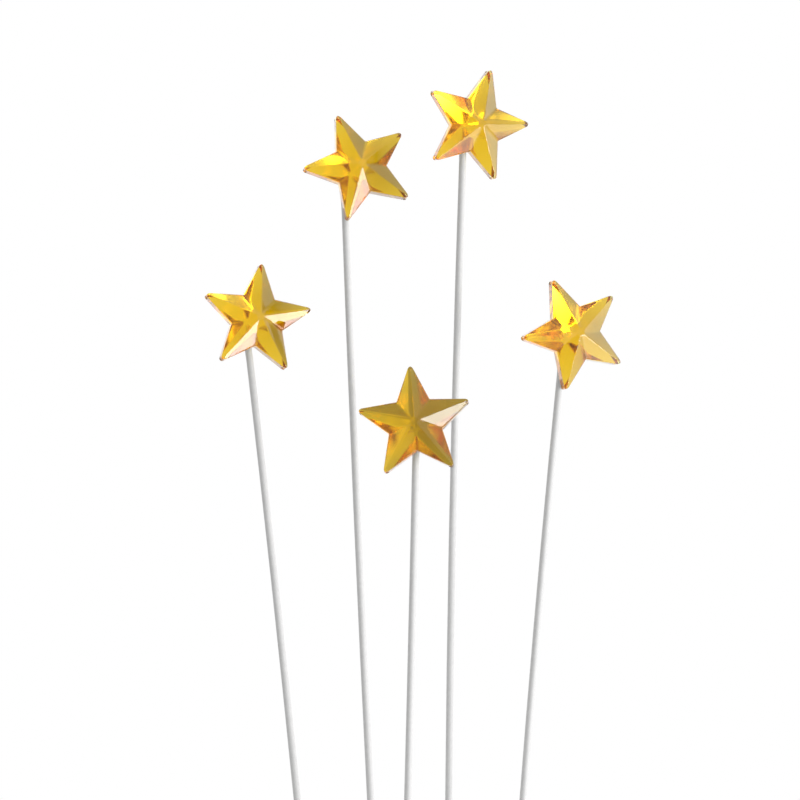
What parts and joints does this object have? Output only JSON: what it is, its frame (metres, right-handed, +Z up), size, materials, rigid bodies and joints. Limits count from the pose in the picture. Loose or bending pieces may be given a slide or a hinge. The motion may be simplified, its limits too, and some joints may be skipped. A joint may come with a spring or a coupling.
{
  "type": "cake topper",
  "caption": "Cake topper set of faceted amber star gems with mirrored backs, each glued to a thin white coated wire stem that is pushed into the cake.",
  "frame": {"origin": "centre of the middle stem where it enters the cake, at the cake's top", "axes": "+Z up out of the cake, -Y towards the viewer that the stars face, +X to that viewer's right"},
  "size_m": [0.0883, 0.0243, 0.1939],
  "materials": {
    "amber_acrylic": "clear amber acrylic, polished facets",
    "mirror_coat": "silvered flat back",
    "clear_glue": "milky clear glue",
    "steel_wire": "drawn steel wire",
    "white_coating": "matte white coating"
  },
  "bodies": {
    "left_pick": {"star_left": "amber_acrylic", "mirror_back_left": "mirror_coat", "glue_dab_left": "clear_glue", "stem_wire_left": "steel_wire", "stem_coating_left": "white_coating"},
    "tall_left_pick": {"star_tall_left": "amber_acrylic", "mirror_back_tall_left": "mirror_coat", "glue_dab_tall_left": "clear_glue", "stem_wire_tall_left": "steel_wire", "stem_coating_tall_left": "white_coating"},
    "middle_pick": {"star_middle": "amber_acrylic", "mirror_back_middle": "mirror_coat", "glue_dab_middle": "clear_glue", "stem_wire_middle": "steel_wire", "stem_coating_middle": "white_coating"},
    "tall_right_pick": {"star_tall_right": "amber_acrylic", "mirror_back_tall_right": "mirror_coat", "glue_dab_tall_right": "clear_glue", "stem_wire_tall_right": "steel_wire", "stem_coating_tall_right": "white_coating"},
    "right_pick": {"star_right": "amber_acrylic", "mirror_back_right": "mirror_coat", "glue_dab_right": "clear_glue", "stem_wire_right": "steel_wire", "stem_coating_right": "white_coating"}
  },
  "joints": [
    {"name": "left_pick_pull_out", "type": "slide", "parent": "middle_pick", "child": "left_pick", "axis": [-0.1002, 0.026, 0.9946], "range_m": [0, 0.04]},
    {"name": "tall_left_pick_pull_out", "type": "slide", "parent": "middle_pick", "child": "tall_left_pick", "axis": [-0.0506, 0.0044, 0.9987], "range_m": [0, 0.04]},
    {"name": "tall_right_pick_pull_out", "type": "slide", "parent": "middle_pick", "child": "tall_right_pick", "axis": [0.0078, -0.0584, 0.9983], "range_m": [0, 0.04]},
    {"name": "right_pick_pull_out", "type": "slide", "parent": "middle_pick", "child": "right_pick", "axis": [0.0749, -0.0496, 0.996], "range_m": [0, 0.04]}
  ]
}
